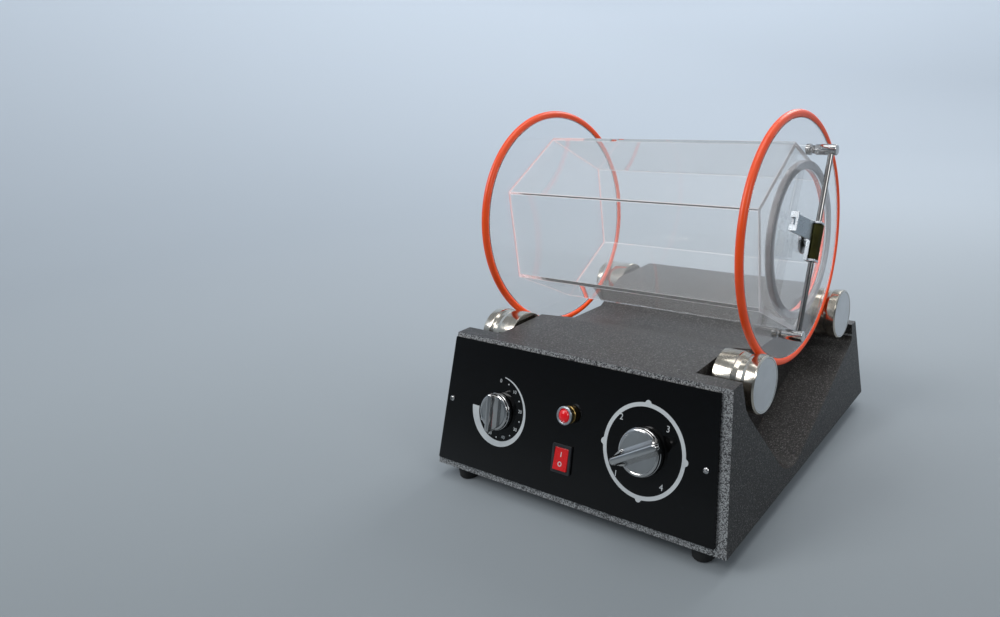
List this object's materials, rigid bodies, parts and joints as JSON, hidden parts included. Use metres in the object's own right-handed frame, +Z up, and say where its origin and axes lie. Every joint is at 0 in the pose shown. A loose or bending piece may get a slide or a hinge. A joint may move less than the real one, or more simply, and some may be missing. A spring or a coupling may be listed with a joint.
{
  "type": "rotary rock tumbler",
  "caption": "Rotary rock tumbler: a clear hexagonal barrel with belted end discs rides on grooved rollers above a sheet-metal base with timer, speed selector, lamp and rocker switch.",
  "frame": {"origin": "middle of the bounding box at the height of the surface the feet stand on", "axes": "+X to the right along the drum axis, towards the door end; +Y from the control panel to the rear; +Z up"},
  "size_m": [0.387, 0.4054, 0.4015],
  "materials": {
    "hammertone": "dark grey hammertone paint, finely mottled",
    "panel": "gloss black panel",
    "chrome": "bright chrome plate",
    "steel": "turned steel",
    "zinc": "zinc-plated pressed steel",
    "bronze": "dark oiled bronze",
    "brass": "machined brass",
    "rubber": "matte black rubber",
    "belt": "orange-red polyurethane round belt, satin",
    "acrylic": "clear acrylic, polished, greyish at the edges",
    "silicone": "translucent silicone",
    "red_lens": "clear red lens",
    "red_plastic": "glossy red plastic",
    "dark_plastic": "matte dark grey plastic",
    "motor": "grey motor paint"
  },
  "bodies": {
    "base": {"bearing_front_left": "dark_plastic", "bearing_front_right": "dark_plastic", "bearing_rear_left": "dark_plastic", "bearing_rear_right": "dark_plastic", "bottom_plate": "hammertone", "drive_belt": "rubber", "foot_front_left": "rubber", "foot_front_right": "rubber", "foot_rear_left": "rubber", "foot_rear_right": "rubber", "foot_screw_front_left": "steel", "foot_screw_front_right": "steel", "foot_screw_rear_left": "steel", "foot_screw_rear_right": "steel", "front_panel": "panel", "fuse_holder": "dark_plastic", "housing": "hammertone", "lamp_bezel": "zinc", "lamp_lens": "red_lens", "motor": "motor", "motor_bracket": "zinc", "panel_screw_left": "chrome", "panel_screw_right": "chrome", "power_inlet": "dark_plastic", "rocker_frame": "dark_plastic", "run_capacitor": "dark_plastic", "speed_switch": "dark_plastic", "timer_body": "dark_plastic"},
    "drum": {"barrel": "acrylic", "disc_left": "acrylic", "disc_right": "acrylic", "rim_belt_left": "belt", "rim_belt_right": "belt", "post_collar_upper": "steel", "post_collar_lower": "steel"},
    "door": {"lid": "acrylic", "lid_gasket": "silicone", "pressure_pad": "steel", "clamp_bar": "chrome", "post_upper": "chrome", "post_lower": "chrome"},
    "lever": {"lever_sleeve": "bronze", "lever_plate": "zinc"},
    "front_rollers": {"shaft_front": "steel", "roller_front_left": "chrome", "roller_front_right": "chrome"},
    "rear_rollers": {"shaft_rear": "steel", "roller_rear_left": "chrome", "roller_rear_right": "chrome", "drive_pulley": "dark_plastic"},
    "motor_rotor": {"motor_shaft": "steel", "motor_pulley": "brass"},
    "timer_dial": {"timer_knob": "chrome"},
    "speed_dial": {"speed_knob": "chrome"},
    "rocker": {"rocker_button": "red_plastic"}
  },
  "joints": [
    {"name": "drum_spin", "type": "hinge", "parent": "base", "child": "drum", "pos_m": [-0.0005, 0.02895, 0.26484], "axis": [1, 0, 0], "continuous": true},
    {"name": "front_roller_spin", "type": "hinge", "parent": "base", "child": "front_rollers", "pos_m": [-0.0005, -0.08505, 0.145], "axis": [1, 0, 0], "continuous": true},
    {"name": "rear_roller_spin", "type": "hinge", "parent": "base", "child": "rear_rollers", "pos_m": [-0.0005, 0.14295, 0.145], "axis": [1, 0, 0], "continuous": true},
    {"name": "motor_spin", "type": "hinge", "parent": "base", "child": "motor_rotor", "pos_m": [0.0535, 0.03695, 0.067], "axis": [1, 0, 0], "continuous": true},
    {"name": "door_pull", "type": "slide", "parent": "drum", "child": "door", "axis": [1, 0, 0], "range_m": [0, 0.06]},
    {"name": "lever_turn", "type": "hinge", "parent": "door", "child": "lever", "pos_m": [0.1865, 0.02895, 0.26484], "axis": [0, 0.4462, 0.8949], "range_deg": [0, 120]},
    {"name": "timer_turn", "type": "hinge", "parent": "base", "child": "timer_dial", "pos_m": [-0.1035, -0.1861, 0.09735], "axis": [0, -0.953, 0.3029], "range_deg": [-300, 0]},
    {"name": "speed_turn", "type": "hinge", "parent": "base", "child": "speed_dial", "pos_m": [0.0915, -0.1861, 0.09735], "axis": [0, -0.953, 0.3029], "range_deg": [-270, 45]},
    {"name": "rocker_tilt", "type": "hinge", "parent": "base", "child": "rocker", "pos_m": [-0.0075, -0.18802, 0.06491], "axis": [1, 0, 0], "range_deg": [0, 11]}
  ],
  "couplings": [
    {"joint": "front_roller_spin", "follows": "drum_spin", "ratio": -4.8134},
    {"joint": "rear_roller_spin", "follows": "drum_spin", "ratio": -4.8134},
    {"joint": "motor_spin", "follows": "drum_spin", "ratio": -10.314}
  ]
}
